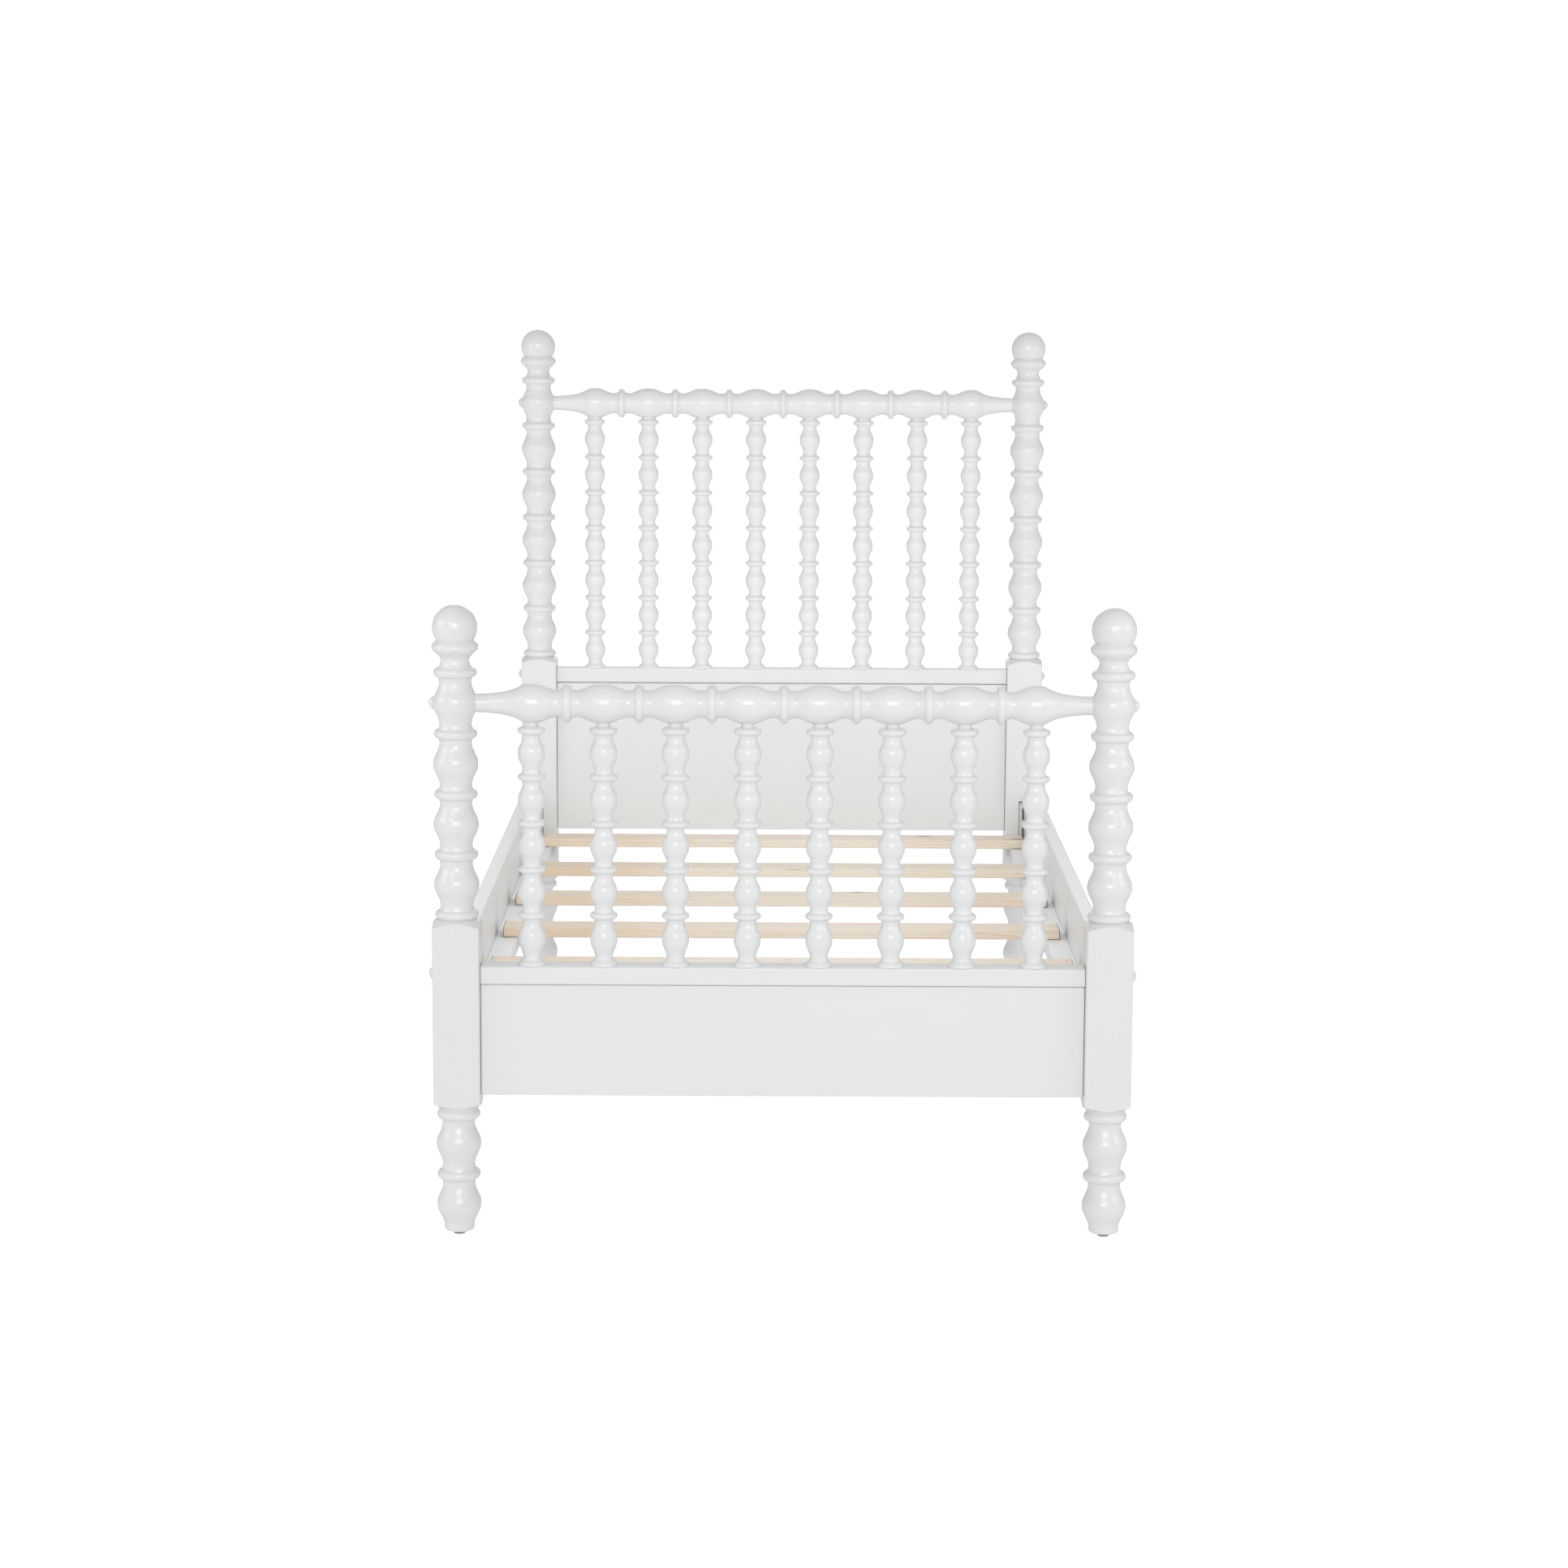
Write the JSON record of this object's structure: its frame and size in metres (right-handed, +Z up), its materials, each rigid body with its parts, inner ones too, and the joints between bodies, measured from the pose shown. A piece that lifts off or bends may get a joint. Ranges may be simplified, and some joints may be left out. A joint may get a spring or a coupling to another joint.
{
  "type": "spindle bed",
  "caption": "Single bed frame with bobbin-turned posts, rails and spindles, flat lower panels, side rails and wooden slats.",
  "frame": {"origin": "on the floor, under the middle of the bed", "axes": "+Z up; +Y along the bed towards the taller head end; +X across the bed, to the right seen from the foot"},
  "size_m": [1.088, 2.062, 1.3371],
  "materials": {
    "paint_white": "satin white paint on solid wood",
    "slat_pine": "planed pine, clear finish",
    "dowel_beech": "bare fluted beech",
    "plug_white": "satin moulded",
    "zinc_steel": "zinc plated",
    "insert_brass": "machined",
    "bracket_steel": "light grey powder coat",
    "plate_black": "dark baked coat",
    "glide_grey": "moulded nylon"
  },
  "bodies": {
    "root": {"bracket_screws": "zinc_steel", "button_plugs": "plug_white", "cleat_screws": "zinc_steel", "foot_cap_rail": "paint_white", "foot_panel": "paint_white", "foot_post_left": "paint_white", "foot_post_right": "paint_white", "foot_spindle_1": "paint_white", "foot_spindle_2": "paint_white", "foot_spindle_3": "paint_white", "foot_spindle_4": "paint_white", "foot_spindle_5": "paint_white", "foot_spindle_6": "paint_white", "foot_spindle_7": "paint_white", "foot_spindle_8": "paint_white", "foot_top_rail": "paint_white", "glide_foot_left": "glide_grey", "glide_foot_right": "glide_grey", "glide_head_left": "glide_grey", "glide_head_right": "glide_grey", "glide_nails": "zinc_steel", "head_cap_rail": "paint_white", "head_panel": "paint_white", "head_post_left": "paint_white", "head_post_right": "paint_white", "head_spindle_1": "paint_white", "head_spindle_2": "paint_white", "head_spindle_3": "paint_white", "head_spindle_4": "paint_white", "head_spindle_5": "paint_white", "head_spindle_6": "paint_white", "head_spindle_7": "paint_white", "head_spindle_8": "paint_white", "head_top_rail": "paint_white", "panel_dowels": "dowel_beech", "post_plate_screws": "zinc_steel", "post_plates": "plate_black", "rail_bolts": "zinc_steel", "rail_brackets": "bracket_steel", "side_rail_left": "paint_white", "side_rail_right": "paint_white", "slat_1": "slat_pine", "slat_2": "slat_pine", "slat_3": "slat_pine", "slat_4": "slat_pine", "slat_5": "slat_pine", "slat_6": "slat_pine", "slat_7": "slat_pine", "slat_cleat_left": "paint_white", "slat_cleat_right": "paint_white", "slat_screws": "zinc_steel", "threaded_inserts": "insert_brass"}
  },
  "joints": []
}
